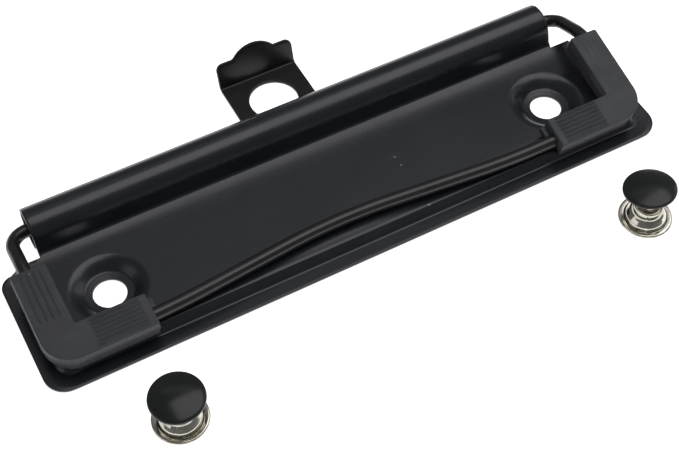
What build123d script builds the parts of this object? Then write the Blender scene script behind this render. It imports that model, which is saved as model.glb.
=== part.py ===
"""Board clip with a wire lever, rubber corner pads, a pull-out hanging tab and two loose rivets.

Frame: X runs along the length of the clip, Y from the front lip to the rear roll, Z up.
The origin is the middle of the line between the two rivet holes, on the seating plane.
"""
from build123d import *
import os
from math import asin, cos, degrees, radians, sin

os.makedirs("parts", exist_ok=True)

# ---------------------------------------------------------------- driving dimensions (mm)
sheet = 0.8                    # thickness of the pressed steel sheet
clip_length = 150.0            # over the flange
flange_front_y = -18.1         # front edge of the flange
rear_edge_y = 13.6             # rear edge of the tray beside the roll
corner_r = 4.9                 # plan radius of the front corners
rear_corner_r = 3.0
flange_w = 3.2                 # flat lip outside the step
step_run = 1.7                 # horizontal run of the sloped step
tray_top = 3.0                 # top face of the raised tray
tray_corner_r = 3.2

hole_pitch = 110.0             # between the rivet holes
hole_r = 3.65
dimple_flat_r = 6.0            # flat seat round each hole
dimple_rim_r = 8.3             # where the dimple meets the tray top

roll_half = 65.0               # half length of the rear roll
roll_r = 4.8                   # outer radius of the roll
roll_y = 19.8                  # roll axis
roll_z = 5.85
roll_sweep = 302.0             # degrees that the sheet curls round
fold_r = 1.2                   # inside radius of the fold at the foot of the roll
window_x = (37.0, 54.0)        # crank windows in the underside of the roll
window_top = 3.2

wire_r = 1.5
bar_y = -12.3                  # front bar of the lever
bar_z = 5.1
arm_x = 69.5                   # side arms
knee = {"left": (10.5, 7.5), "right": (8.5, 10.2)}   # y, z of the top of each side arm
bow_depth = 3.9                # the front bar bows to the rear in the middle
crank_throw = 2.4
crank_angle = -80.0            # from +Y, towards +Z
crank_x = (38.0, 48.5, 52.0)   # free end, start of the throw, start of the journal

pad_inner_x = {"left": 49.7, "right": 48.5}    # rubber corner, inner end of the front leg
pad_side_x = {"left": 65.1, "right": 64.8}     # inner face of the side leg
pad_outer_x = {"left": 72.9, "right": 71.8}
pad_front = {"left": -3.4, "right": -3.0}      # from the bar axis, along the lever plane
pad_back = 4.4
pad_rear = {"left": 20.0, "right": 20.5}
pad_under = 2.35
pad_over = 2.45
pad_floor = 3.3                # the pad clears the tray above this height
pad_skirt_y = -14.3            # in front of this its skirt hangs down past the step

tab_half = 9.8                 # hanging tab
tab_in_y = 15.95
tab_crease_y = 41.6
tab_lip_angle = 76.0
tab_lip_side = 7.1             # height of the lip at its shoulders
tab_tongue = 9.7               # height of its middle tongue
tab_hole_r = 5.8
tab_hole_y = 32.4

rivet_at = {"left": (-54.0, -34.0), "right": (56.7, -37.0)}
base_r = 6.0
cap_r = 5.85
tube_r = 3.25
stud_r = 2.3
tube_top = 5.0
cap_under = {"left": 7.85, "right": 9.0}
cap_rim = 1.1                  # height of the cap's rolled edge
fit_gap = 0.08                 # running clearance of the stud in the tube mouth
lean = {"left": 0.0, "right": 9.0}             # degrees that each loose head leans over in its tube
lean_axis = (-0.954, -0.3, 0)
dome_r = ((cap_r - 0.15) ** 2 + 1.1 ** 2) / 2.2      # sphere of the cap's domed face
dome_half = degrees(asin((cap_r - 0.15) / dome_r))


def tray_plan(inset, rear):
    """Plan of the raised tray in the sketch that is open: inset from the step foot, run to rear."""
    half = clip_length / 2 - flange_w - inset
    front = flange_front_y + flange_w + inset
    with Locations((0, (front + rear) / 2)):
        RectangleRounded(2 * half, rear - front, tray_corner_r - 0.5 * min(inset, 2.0))


def upright(x, y):
    """Vertical plane through (x, y), with its own x along +X and its own y up."""
    return Plane(origin=(x, y, 0), x_dir=(1, 0, 0), z_dir=(0, -1, 0))


# ---------------------------------------------------------------- jaw plate
slope = step_run / (tray_top - sheet)
with BuildPart() as jaw_plate:
    # flat flange round the front and both ends
    with BuildSketch() as flange_plan:
        with Locations((0, (flange_front_y + rear_edge_y) / 2)):
            Rectangle(clip_length, rear_edge_y - flange_front_y)
        fillet(flange_plan.vertices().group_by(Axis.Y)[0], corner_r)
        fillet(flange_plan.vertices().group_by(Axis.Y)[-1], rear_corner_r)
    extrude(amount=sheet)
    # raised tray, a sloped step up from the flange
    with BuildSketch(Plane.XY.offset(0.0)):
        tray_plan(-sheet * slope, rear_edge_y + 12)
    with BuildSketch(Plane.XY.offset(tray_top)):
        tray_plan(step_run, rear_edge_y + 12)
    loft()
    # hollow underneath, one sheet thickness inside the step
    with BuildSketch(Plane.XY.offset(-0.001)):
        tray_plan(-sheet * slope + 0.95, rear_edge_y + 16)
    with BuildSketch(Plane.XY.offset(tray_top - sheet)):
        tray_plan(step_run + 0.95 - sheet * slope, rear_edge_y + 16)
    loft(mode=Mode.SUBTRACT)
    # the tray stops at the rear edge
    with BuildSketch(Plane.XY):
        with Locations((0, rear_edge_y + 20)):
            Rectangle(200, 40)
    extrude(amount=10, both=True, mode=Mode.SUBTRACT)
    # soften the ridge and the foot of the step
    ridge = jaw_plate.edges().filter_by(lambda e: abs(e.center().Z - tray_top) < 0.01).filter_by(
        lambda e: e.center().Y < rear_edge_y - 0.5)
    fillet(ridge, 0.7)
    # rear fold and roll, curled from the same sheet
    with BuildSketch(Plane.YZ) as roll_section:
        with BuildLine():
            front_y = roll_y - roll_r
            low = front_y - fold_r
            up = tray_top + fold_r
            tip = 180 - roll_sweep
            tip_out = (roll_y + roll_r * cos(radians(tip)), roll_z + roll_r * sin(radians(tip)))
            tip_in = (roll_y + (roll_r - sheet) * cos(radians(tip)),
                      roll_z + (roll_r - sheet) * sin(radians(tip)))
            Line((rear_edge_y - 3, tray_top), (low, tray_top))
            CenterArc((low, up), fold_r, -90, 90)
            Line((front_y, up), (front_y, roll_z))
            CenterArc((roll_y, roll_z), roll_r, 180, -roll_sweep)
            Line(tip_out, tip_in)
            CenterArc((roll_y, roll_z), roll_r - sheet, 180 - roll_sweep, roll_sweep)
            Line((front_y + sheet, roll_z), (front_y + sheet, up))
            CenterArc((low, up), fold_r + sheet, 0, -90)
            Line((low, tray_top - sheet), (rear_edge_y - 3, tray_top - sheet))
            Line((rear_edge_y - 3, tray_top - sheet), (rear_edge_y - 3, tray_top))
        make_face()
    extrude(amount=roll_half, both=True)
    # windows in the underside of the roll, where the lever cranks reach the board
    with BuildSketch(Plane.XY.offset(-1)):
        for side in (-1, 1):
            with Locations((side * sum(window_x) / 2, roll_y + 1.8)):
                Rectangle(window_x[1] - window_x[0], 10.6 - 3.0)
    extrude(amount=window_top + 1, mode=Mode.SUBTRACT)
    # pressed dimple round each rivet hole
    with Locations((-hole_pitch / 2, 0, -1), (hole_pitch / 2, 0, -1)):
        Cylinder(dimple_rim_r + 1, 6, align=(Align.CENTER, Align.CENTER, Align.MIN), mode=Mode.SUBTRACT)
    for side in (-1, 1):
        with BuildSketch(upright(side * hole_pitch / 2, 0)) as dish:
            with BuildLine():
                Polyline(
                    (hole_r, 0), (dimple_flat_r + 0.45, 0), (dimple_rim_r + 0.45, tray_top - sheet),
                    (dimple_rim_r + 1, tray_top - sheet), (dimple_rim_r + 1, tray_top),
                    (dimple_rim_r, tray_top), (dimple_flat_r, sheet), (hole_r, sheet), close=True)
            make_face()
            fillet(dish.vertices().filter_by(lambda v: abs(v.X - dimple_rim_r) < 0.01), 0.6)
            fillet(dish.vertices().filter_by(lambda v: abs(v.X - dimple_flat_r) < 0.01), 0.5)
        revolve(axis=Axis((side * hole_pitch / 2, 0, 0), (0, 0, 1)))
jaw_plate.part.label = "jaw_plate"
export_step(jaw_plate.part, "parts/jaw_plate.step")

# ---------------------------------------------------------------- lever wire
crank_y = roll_y + crank_throw * cos(radians(crank_angle))
crank_z = roll_z + crank_throw * sin(radians(crank_angle))
half_path = {
    side: [
        (crank_x[0], crank_y, crank_z),
        (crank_x[1], crank_y, crank_z),
        (crank_x[2], roll_y, roll_z),
        (arm_x, roll_y, roll_z),
        (arm_x, top_y, top_z),
        (arm_x, bar_y, bar_z),
    ]
    for side, (top_y, top_z) in knee.items()
}
half_radii = [2.6, 2.6, 4.2, 9.0, 5.0]
bow_path = [(-46.0, bar_y, bar_z), (-5.0, bar_y + bow_depth, bar_z), (36.0, bar_y, bar_z)]
bow_radii = [170.0, 130.0, 170.0]
wire_points = [(-x, y, z) for x, y, z in half_path["left"]] + bow_path + half_path["right"][::-1]
wire_radii = half_radii + bow_radii + half_radii[::-1]
with BuildPart() as lever_wire:
    with BuildLine():
        wire_line = FilletPolyline(*wire_points, radius=wire_radii)
    with BuildSketch(Plane(origin=wire_line @ 0, z_dir=wire_line % 0)):
        Circle(wire_r)
    sweep()
lever_wire.part.label = "lever_wire"
export_step(lever_wire.part, "parts/lever_wire.step")
print("lever wire", round(lever_wire.part.volume, 1), "of",
      round(wire_line.length * 3.14159 * wire_r ** 2, 1))

# ---------------------------------------------------------------- rubber corner pads
for side, sign in (("left", -1), ("right", 1)):
    name = "rubber_corner_" + side
    tilt = (knee[side][1] - bar_z) / (knee[side][0] - bar_y)
    norm = (1 + tilt * tilt) ** 0.5
    up = (0, -tilt / norm, 1 / norm)
    pad_plane = Plane(origin=(0, bar_y, bar_z), x_dir=(1, 0, 0), z_dir=up)
    end_x, side_x, out_x = pad_inner_x[side], pad_side_x[side], pad_outer_x[side]
    front, rear = pad_front[side], pad_rear[side]
    with BuildPart() as rubber_corner:
        with BuildSketch(pad_plane.offset(-pad_under)) as pad_plan:
            with BuildLine():
                Polyline(
                    (sign * end_x, front), (sign * out_x, front), (sign * out_x, rear),
                    (sign * side_x, rear), (sign * side_x, pad_back), (sign * end_x, pad_back), close=True)
            make_face()
            outer = pad_plan.vertices().filter_by(lambda v: abs(v.X) > out_x - 0.1).sort_by(Axis.Y)
            fillet(outer[0], 6.5)
            fillet(pad_plan.vertices().filter_by(lambda v: abs(v.X) > out_x - 0.1).sort_by(Axis.Y)[-1], 0.5)
            fillet(pad_plan.vertices().filter_by(
                lambda v: abs(abs(v.X) - side_x) < 0.1).sort_by(Axis.Y)[0], 0.6)
        extrude(amount=pad_under + pad_over)
        fillet(rubber_corner.faces().sort_by(Axis((0, bar_y, bar_z), up))[-1].edges(), 0.35)
        # low lip beside the bar at the inner end
        with BuildSketch(pad_plane.offset(-1.5)):
            with Locations((sign * (end_x - 0.55), (1.0 + pad_back - 0.2) / 2)):
                Rectangle(1.5, pad_back - 1.2)
        extrude(amount=1.6)
        # room for the tray, leaving the skirt in front of its step
        with Locations((0, pad_skirt_y, pad_floor)):
            Box(160, 60, 20, align=(Align.CENTER, Align.MIN, Align.MAX), mode=Mode.SUBTRACT)
        add(lever_wire.part, mode=Mode.SUBTRACT)
        # finger ribs on the top face, along each leg
        with BuildSketch(pad_plane.offset(pad_over - 0.2)):
            for k in range(7):
                with Locations((sign * (end_x + 7.0), front + 0.9 + 1.0 * k)):
                    Rectangle(11.0, 0.5)
            for k in range(4):
                with Locations((sign * (side_x + 1.5 + 1.4 * k), pad_back + 8.3)):
                    Rectangle(0.7, 11.5)
        extrude(amount=0.45)
    rubber_corner.part.label = name
    export_step(rubber_corner.part, "parts/" + name + ".step")

# ---------------------------------------------------------------- hanging tab
with BuildPart() as hanging_tab:
    # blade that slides flat on the board
    with BuildSketch() as blade_plan:
        with Locations((0, (tab_in_y + tab_crease_y) / 2)):
            Rectangle(2 * tab_half, tab_crease_y - tab_in_y)
        with Locations((0, tab_hole_y)):
            Circle(tab_hole_r, mode=Mode.SUBTRACT)
    extrude(amount=sheet)
    # inner end turned up as the stop against the roll
    with Locations((0, tab_in_y, 0)):
        Box(2 * tab_half - 3.0, sheet, 2.0, align=(Align.CENTER, Align.MIN, Align.MIN))
    # finger lip with two shoulders and a round tongue
    lip_plane = Plane(
        origin=(0, tab_crease_y, 0), x_dir=(1, 0, 0),
        z_dir=(0, -sin(radians(tab_lip_angle)), cos(radians(tab_lip_angle))))
    with BuildSketch(lip_plane) as lip:
        with BuildLine():
            tongue_half = 5.3
            Line((-tab_half, 0), (-tab_half, tab_lip_side))
            Line((-tab_half, tab_lip_side), (-tongue_half, tab_lip_side))
            ThreePointArc((-tongue_half, tab_lip_side), (0, tab_tongue), (tongue_half, tab_lip_side))
            Line((tongue_half, tab_lip_side), (tab_half, tab_lip_side))
            Line((tab_half, tab_lip_side), (tab_half, 0))
            Line((tab_half, 0), (-tab_half, 0))
        make_face()
        fillet(lip.vertices().filter_by(lambda v: abs(abs(v.X) - tab_half) < 0.01).group_by(Axis.Y)[-1], 1.6)
        fillet(lip.vertices().filter_by(lambda v: abs(abs(v.X) - tongue_half) < 0.01), 0.8)
    extrude(amount=sheet)
hanging_tab.part.label = "hanging_tab"
export_step(hanging_tab.part, "parts/hanging_tab.step")

# ---------------------------------------------------------------- rivets, two halves each
for side, (rx, ry) in rivet_at.items():
    spin = Axis((rx, ry, 0), (0, 0, 1))
    section = upright(rx, ry)
    # pan crimped round the flange of the tube
    with BuildPart() as base_shell:
        with BuildSketch(section):
            with BuildLine():
                Polyline(
                    (0, 0), (base_r - 0.5, 0), (base_r, 0.25), (base_r, 0.75), (base_r - 0.35, 0.95),
                    (base_r - 1.25, 0.95), (base_r - 1.25, 0.65), (base_r - 0.35, 0.65),
                    (base_r - 0.35, 0.3), (0, 0.3), close=True)
            make_face()
        revolve(axis=spin)
    base_shell.part.label = "rivet_" + side + "_base_shell"
    export_step(base_shell.part, "parts/rivet_" + side + "_base_shell.step")
    # drawn tube with its bell foot and flange
    with BuildPart() as tube:
        with BuildSketch(section) as tube_section:
            with BuildLine():
                Polyline(
                    (base_r - 0.35, 0.3), (base_r - 0.35, 0.65), (base_r - 1.45, 0.65), (4.4, 0.85),
                    (3.9, 2.2), (3.45, 2.85), (tube_r, 3.1), (tube_r, tube_top - 0.15),
                    (tube_r - 0.15, tube_top), (stud_r + fit_gap, tube_top),
                    (stud_r + fit_gap, tube_top - 0.4), (tube_r - 0.35, tube_top - 0.4),
                    (tube_r - 0.35, 2.95), (3.15, 2.6), (3.6, 1.9), (4.05, 0.6), (4.15, 0.3), close=True)
            make_face()
        revolve(axis=spin)
    tube.part.label = "rivet_" + side + "_tube"
    export_step(tube.part, "parts/rivet_" + side + "_tube.step")
    # stud with its head, held in the cap, both leaning with the loose head
    under = cap_under[side]
    lean_line = Axis((rx, ry, tube_top - 0.2), lean_axis)
    with BuildPart() as stud:
        with BuildSketch(section):
            with BuildLine():
                Polyline(
                    (0, 3.6), (1.5, 3.6), (stud_r, 4.2), (stud_r, under + 0.3),
                    (cap_r - 0.55, under + 0.3), (cap_r - 0.55, under + 0.65),
                    (0, under + 0.65), close=True)
            make_face()
        revolve(axis=spin)
    stud_solid = stud.part.rotate(lean_line, lean[side])
    stud_solid.label = "rivet_" + side + "_stud"
    export_step(stud_solid, "parts/rivet_" + side + "_stud.step")
    # domed cap crimped over the head of the stud
    with BuildPart() as cap:
        with BuildSketch(section):
            with BuildLine():
                Line((cap_r - 1.2, under), (cap_r - 0.35, under))
                Line((cap_r - 0.35, under), (cap_r, under + 0.45))
                Line((cap_r, under + 0.45), (cap_r, under + cap_rim - 0.35))
                Line((cap_r, under + cap_rim - 0.35), (cap_r - 0.15, under + cap_rim))
                CenterArc((0, under + cap_rim + 1.1 - dome_r), dome_r, 90 - dome_half, dome_half)
                Line((0, under + cap_rim + 1.1), (0, under + 0.65))
                Line((0, under + 0.65), (cap_r - 0.55, under + 0.65))
                Line((cap_r - 0.55, under + 0.65), (cap_r - 0.55, under + 0.3))
                Line((cap_r - 0.55, under + 0.3), (cap_r - 1.2, under + 0.3))
                Line((cap_r - 1.2, under + 0.3), (cap_r - 1.2, under))
            make_face()
        revolve(axis=spin)
    cap_solid = cap.part.rotate(lean_line, lean[side])
    cap_solid.label = "rivet_" + side + "_cap"
    export_step(cap_solid, "parts/rivet_" + side + "_cap.step")
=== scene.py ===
"""Board clip hardware: pressed jaw plate, wire lever with rubber corner pads, hanging tab and two rivets.

Sizes inside the classes are millimetres: X along the clip, Y from the front lip to the rear roll, Z up off
the board. Meshes are written in metres.
"""

import logging
from dataclasses import dataclass, field
from enum import Enum
from typing import Callable, Optional, Sequence

import bpy
import numpy as np
from mathutils import Matrix, Vector
from mathutils.geometry import delaunay_2d_cdt


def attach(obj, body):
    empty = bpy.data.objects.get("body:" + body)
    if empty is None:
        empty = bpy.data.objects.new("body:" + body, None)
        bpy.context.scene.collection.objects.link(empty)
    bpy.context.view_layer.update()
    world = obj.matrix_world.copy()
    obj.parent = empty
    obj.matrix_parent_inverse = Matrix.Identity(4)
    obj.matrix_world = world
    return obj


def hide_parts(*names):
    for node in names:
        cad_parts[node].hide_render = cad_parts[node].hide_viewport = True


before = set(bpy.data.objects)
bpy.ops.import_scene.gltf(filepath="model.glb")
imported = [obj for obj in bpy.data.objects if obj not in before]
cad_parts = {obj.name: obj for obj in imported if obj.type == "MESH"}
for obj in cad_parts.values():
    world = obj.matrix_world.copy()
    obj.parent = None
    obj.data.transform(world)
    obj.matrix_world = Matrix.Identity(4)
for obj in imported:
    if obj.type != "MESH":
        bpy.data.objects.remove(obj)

MM = 0.001
LOG = logging.getLogger("board_clip")
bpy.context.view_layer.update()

Loop = np.ndarray
Lay = Callable[[np.ndarray], np.ndarray]
Pair = tuple[float, float]
Triple = tuple[float, float, float]
Piece = bpy.types.Object
Tree = bpy.types.NodeTree
Node = bpy.types.Node
Socket = bpy.types.NodeSocket


class Turn(Enum):
    """Which side of a contour the material lies on."""

    OUTER = 1
    HOLE = -1


# ------------------------------------------------------------------ drawing tools


@dataclass
class Contour:
    """A closed polygon with rounded corners that can be inset without changing its point count.

    Attributes:
        corners: Corner points, anticlockwise for an outer edge and clockwise for a hole.
        radii: One corner radius for each corner.
        pitch: Longest step along a straight edge.
        arc_steps: Steps round each rounded corner.
    """

    corners: Sequence[Pair]
    radii: Sequence[float]
    pitch: float = 2.0
    arc_steps: int = 6

    @classmethod
    def of(cls, points: Sequence[Triple], pitch: float, arc_steps: int) -> "Contour":
        """A contour from corners that carry their radius."""
        return cls([(x, y) for x, y, _ in points], [r for _, _, r in points], pitch, arc_steps)

    def loop(self, inset: float = 0.0) -> Loop:
        """Points of the contour, moved into the material.

        Args:
            inset: Distance from the drawn edge, towards the material on its left.

        Returns:
            An (n, 2) array, with the same n for every inset.
        """
        pts = np.array(self.corners, float)
        count = len(pts)
        arcs: list[np.ndarray] = []
        for k in range(count):
            before, here, after = pts[k - 1], pts[k], pts[(k + 1) % count]
            u = (here - before) / np.linalg.norm(here - before)
            v = (after - here) / np.linalg.norm(after - here)
            cross, dot = u[0] * v[1] - u[1] * v[0], float(u @ v)
            turn = float(np.arctan2(cross, dot))
            left_u, left_v = np.array([-u[1], u[0]]), np.array([-v[1], v[0]])
            corner = here + inset * (left_u + left_v) / (1.0 + dot)
            radius = self.radii[k]
            if radius <= 0.0:
                arcs.append(corner[None, :])
                continue
            side = 1.0 if turn > 0 else -1.0
            radius = max(radius - side * inset, 0.05)
            back = radius * np.tan(abs(turn) / 2)
            centre = corner - u * back + side * left_u * radius
            start = np.arctan2(*(-side * left_u)[::-1])
            ang = start + turn * np.linspace(0, 1, self.arc_steps + 1)
            arcs.append(centre + radius * np.c_[np.cos(ang), np.sin(ang)])
        out: list[np.ndarray] = []
        for k, arc in enumerate(arcs):
            out.append(arc)
            gap = float(np.linalg.norm(pts[(k + 1) % count] - pts[k]))
            steps = max(int(np.ceil(gap / self.pitch)), 1)
            share = np.linspace(0, 1, steps + 1)[1:-1, None]
            out.append(arc[-1] * (1 - share) + arcs[(k + 1) % count][0] * share)
        return np.vstack(out)


@dataclass
class Ring:
    """A round hole or disc edge, inset like a Contour."""

    centre: Pair
    radius: float
    turn: Turn = Turn.HOLE
    steps: int = 72

    def loop(self, inset: float = 0.0) -> Loop:
        """Points of the circle, moved into the material by inset."""
        sign = self.turn.value
        ang = sign * np.linspace(0, 2 * np.pi, self.steps, endpoint=False)
        radius = self.radius - sign * inset
        return np.array(self.centre) + radius * np.c_[np.cos(ang), np.sin(ang)]


def mirrored(points: Sequence[Triple]) -> list[Triple]:
    """The same corners on the other side of the middle, still anticlockwise."""
    return [(-x, y, r) for x, y, r in reversed(points)]


def pressed_rim(sheet: float, r: float) -> list[Pair]:
    """Rim steps of a pressed sheet, its edges rounded to r."""
    return [(r, 0.0), (0.3 * r, 0.3 * r), (0.0, r), (0.0, sheet - r), (0.3 * r, sheet - 0.3 * r), (r, sheet)]


def inside(points: np.ndarray, loops: Sequence[Loop]) -> np.ndarray:
    """True for each point inside the outer loop and outside the holes, by the even-odd rule."""
    hit = np.zeros(len(points), int)
    px, py = points[:, 0], points[:, 1]
    for loop in loops:
        nxt = np.roll(loop, -1, axis=0)
        for (x0, y0), (x1, y1) in zip(loop, nxt):
            if y0 == y1:
                continue
            span = (py >= min(y0, y1)) & (py < max(y0, y1))
            cut = x0 + (py - y0) * (x1 - x0) / (y1 - y0)
            hit += span & (px < cut)
    return hit % 2 == 1


def clear_of(points: np.ndarray, loops: Sequence[Loop], gap: float) -> np.ndarray:
    """True for each point at least gap away from every loop's points."""
    edge = np.vstack(loops)
    keep = np.ones(len(points), bool)
    for start in range(0, len(points), 2000):
        part = points[start : start + 2000]
        near = ((part[:, None, :] - edge[None, :, :]) ** 2).sum(2).min(1)
        keep[start : start + 2000] = near > gap * gap
    return keep


def new_object(name: str, verts: np.ndarray, faces: Sequence[Sequence[int]]) -> Piece:
    """Makes a smooth-shaded mesh object.

    Args:
        name: Name of the object.
        verts: Points in millimetres.
        faces: Vertex indices of each face.

    Returns:
        The linked object.
    """
    mesh = bpy.data.meshes.new(name)
    mesh.from_pydata([tuple(p) for p in verts * MM], [], [list(f) for f in faces])
    mesh.validate()
    mesh.update()
    mesh.shade_smooth()
    obj = bpy.data.objects.new(name, mesh)
    bpy.context.scene.collection.objects.link(obj)
    return obj


@dataclass
class Pattern:
    """A flat pattern laid onto a curved surface and given a thickness and a rounded rim.

    Attributes:
        edges: The outer contour first, then the holes.
        seeds: Points inside the pattern that the triangles pass through.
        lay: Turns pattern points into surface points.
        rim: Steps of the rim from the top skin to the bottom one, as (inset, depth).
        seed_gap: Least distance from a seed to an edge.
        relief: Optional height of raised detail over the top skin.
    """

    edges: Sequence[Contour | Ring]
    seeds: np.ndarray
    lay: Lay
    rim: Sequence[Pair]
    seed_gap: float = 0.22
    relief: Optional[Callable[[np.ndarray], np.ndarray]] = None

    def normals(self, uv: np.ndarray) -> np.ndarray:
        """Unit normals of the laid surface, from differences of nearby points."""
        step = 0.004
        du = self.lay(uv + [step, 0.0]) - self.lay(uv - [step, 0.0])
        dv = self.lay(uv + [0.0, step]) - self.lay(uv - [0.0, step])
        normal = np.cross(du, dv)
        return normal / np.linalg.norm(normal, axis=1)[:, None]

    def shape(self) -> tuple[np.ndarray, list[list[int]]]:
        """Cuts, lays and thickens the pattern.

        Returns:
            The points and faces of a closed mesh.
        """
        top_inset = self.rim[0][0]
        loops = [edge.loop(top_inset) for edge in self.edges]
        seeds = self.seeds[inside(self.seeds, loops)]
        seeds = seeds[clear_of(seeds, loops, self.seed_gap)]
        points = np.vstack(loops + [seeds])
        edges: list[tuple[int, int]] = []
        start = 0
        for loop in loops:
            n = len(loop)
            edges += [(start + i, start + (i + 1) % n) for i in range(n)]
            start += n
        flat, _, tris, source, _, _ = delaunay_2d_cdt([Vector(p) for p in points], edges, [], 0, 1e-5)
        flat_uv = np.array([tuple(p) for p in flat])
        place = {orig: new for new, origs in enumerate(source) for orig in origs}
        tri = np.array([t for t in tris if len(t) == 3])
        tri = tri[inside(flat_uv[tri].mean(axis=1), loops)]
        normal = self.normals(flat_uv)
        skin = self.lay(flat_uv)
        lift = self.relief(flat_uv)[:, None] * normal if self.relief else 0.0
        depth = self.rim[-1][1]
        verts = [skin + lift, skin - depth * normal]
        size = len(flat_uv)
        faces = [list(t) for t in tri] + [[t[0] + size, t[2] + size, t[1] + size] for t in tri]
        total = 2 * size
        start = 0
        for edge, loop in zip(self.edges, loops):
            n = len(loop)
            rows = [[place[start + i] for i in range(n)]]
            for inset, drop in self.rim[1:-1]:
                uv = edge.loop(inset)
                verts.append(self.lay(uv) - drop * self.normals(uv))
                rows.append([total + i for i in range(n)])
                total += n
            rows.append([place[start + i] + size for i in range(n)])
            for upper, lower in zip(rows, rows[1:]):
                for i in range(n):
                    j = (i + 1) % n
                    faces.append([upper[j], upper[i], lower[i], lower[j]])
            start += n
        return np.vstack(verts), faces


def round_route(points: Sequence[Triple], radii: Sequence[float], step: float) -> np.ndarray:
    """Points along straight runs joined by tangent arcs.

    Args:
        points: Corners of the route.
        radii: Radius at each inner corner.
        step: Longest step along the route, in millimetres.

    Returns:
        An (n, 3) array of points.
    """
    pts = np.array(points, float)
    out = [pts[:1]]
    for k in range(1, len(pts) - 1):
        u = pts[k] - pts[k - 1]
        v = pts[k + 1] - pts[k]
        u, v = u / np.linalg.norm(u), v / np.linalg.norm(v)
        turn = float(np.arccos(np.clip(u @ v, -1, 1)))
        back = radii[k - 1] * np.tan(turn / 2)
        across = v - (u @ v) * u
        across /= np.linalg.norm(across)
        begin = pts[k] - u * back
        centre = begin + across * radii[k - 1]
        steps = max(int(np.ceil(radii[k - 1] * turn / step)), 6)
        ang = turn * np.linspace(0, 1, steps + 1)[:, None]
        arc = centre + radii[k - 1] * (np.sin(ang) * u - np.cos(ang) * across)
        out.append(arc)
    out.append(pts[-1:])
    rough = np.vstack(out)
    fine = [rough[:1]]
    for a, b in zip(rough, rough[1:]):
        n = max(int(np.ceil(np.linalg.norm(b - a) / (3 * step))), 1)
        fine.append(a + (b - a) * np.linspace(0, 1, n + 1)[1:, None])
    return np.vstack(fine)


def tube(name: str, route: np.ndarray, radius: float, sides: int = 28, chamfer: float = 0.25) -> Piece:
    """A round bar along a route, with softened ends.

    Args:
        name: Name of the object.
        route: Centre line, in millimetres.
        radius: Radius of the bar.
        sides: Points round the section.
        chamfer: Softening of the cut ends.

    Returns:
        A closed mesh object.
    """
    tangent = np.gradient(route, axis=0)
    tangent /= np.linalg.norm(tangent, axis=1)[:, None]
    side = np.cross(tangent[0], [0.0, 0.0, 1.0])
    ang = np.linspace(0, 2 * np.pi, sides, endpoint=False)
    rings: list[np.ndarray] = []
    for k, (p, t) in enumerate(zip(route, tangent)):
        side = side - (side @ t) * t
        side /= np.linalg.norm(side)
        up = np.cross(t, side)
        ring = np.cos(ang)[:, None] * side + np.sin(ang)[:, None] * up
        if k in (0, len(route) - 1):
            way = t if k == 0 else -t
            inner = p + (radius - chamfer) * ring
            outer = p + way * chamfer + radius * ring
            rings += [inner, outer] if k == 0 else [outer, inner]
        else:
            rings.append(p + radius * ring)
    verts = np.vstack(rings + [route[:1], route[-1:]])
    faces: list[list[int]] = []
    for r in range(len(rings) - 1):
        for i in range(sides):
            j = (i + 1) % sides
            a, b = r * sides, (r + 1) * sides
            faces.append([a + i, a + j, b + j, b + i])
    first, last = len(rings) * sides, len(rings) * sides + 1
    end = (len(rings) - 1) * sides
    for i in range(sides):
        j = (i + 1) % sides
        faces.append([first, j, i])
        faces.append([last, end + i, end + j])
    return new_object(name, verts, faces)


def lathe(
    name: str,
    profile: Contour,
    centre: Pair,
    dent: Optional[Callable[[np.ndarray, float], np.ndarray]] = None,
    steps: int = 96,
) -> Piece:
    """Turns a closed profile about a vertical axis.

    Args:
        name: Name of the object.
        profile: Section in (radius, height), anticlockwise.
        centre: Place of the axis in plan.
        dent: Optional change to the (radius, height) points at an angle.
        steps: Sections round the axis.

    Returns:
        A closed mesh object.
    """
    section = profile.loop()
    on_axis = section[:, 0] < 1e-4
    rows: list[np.ndarray] = []
    for k in range(steps):
        ang = 2 * np.pi * k / steps
        pts = section if dent is None else dent(section, ang)
        rows.append(
            np.c_[centre[0] + pts[:, 0] * np.cos(ang), centre[1] + pts[:, 0] * np.sin(ang), pts[:, 1]]
        )
    n = len(section)
    verts = np.vstack(rows)
    faces: list[list[int]] = []
    for k in range(steps):
        m = (k + 1) % steps
        for i in range(n):
            j = (i + 1) % n
            if on_axis[i] and on_axis[j]:
                continue
            a, b = (0 if on_axis[i] else k) * n + i, (0 if on_axis[j] else k) * n + j
            c, d = (0 if on_axis[j] else m) * n + j, (0 if on_axis[i] else m) * n + i
            ring = [v for v, w in zip([a, d, c, b], [d, c, b, a]) if v != w]
            faces.append(ring)
    return new_object(name, verts, faces)


# ------------------------------------------------------------------ shared shader effects


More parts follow.
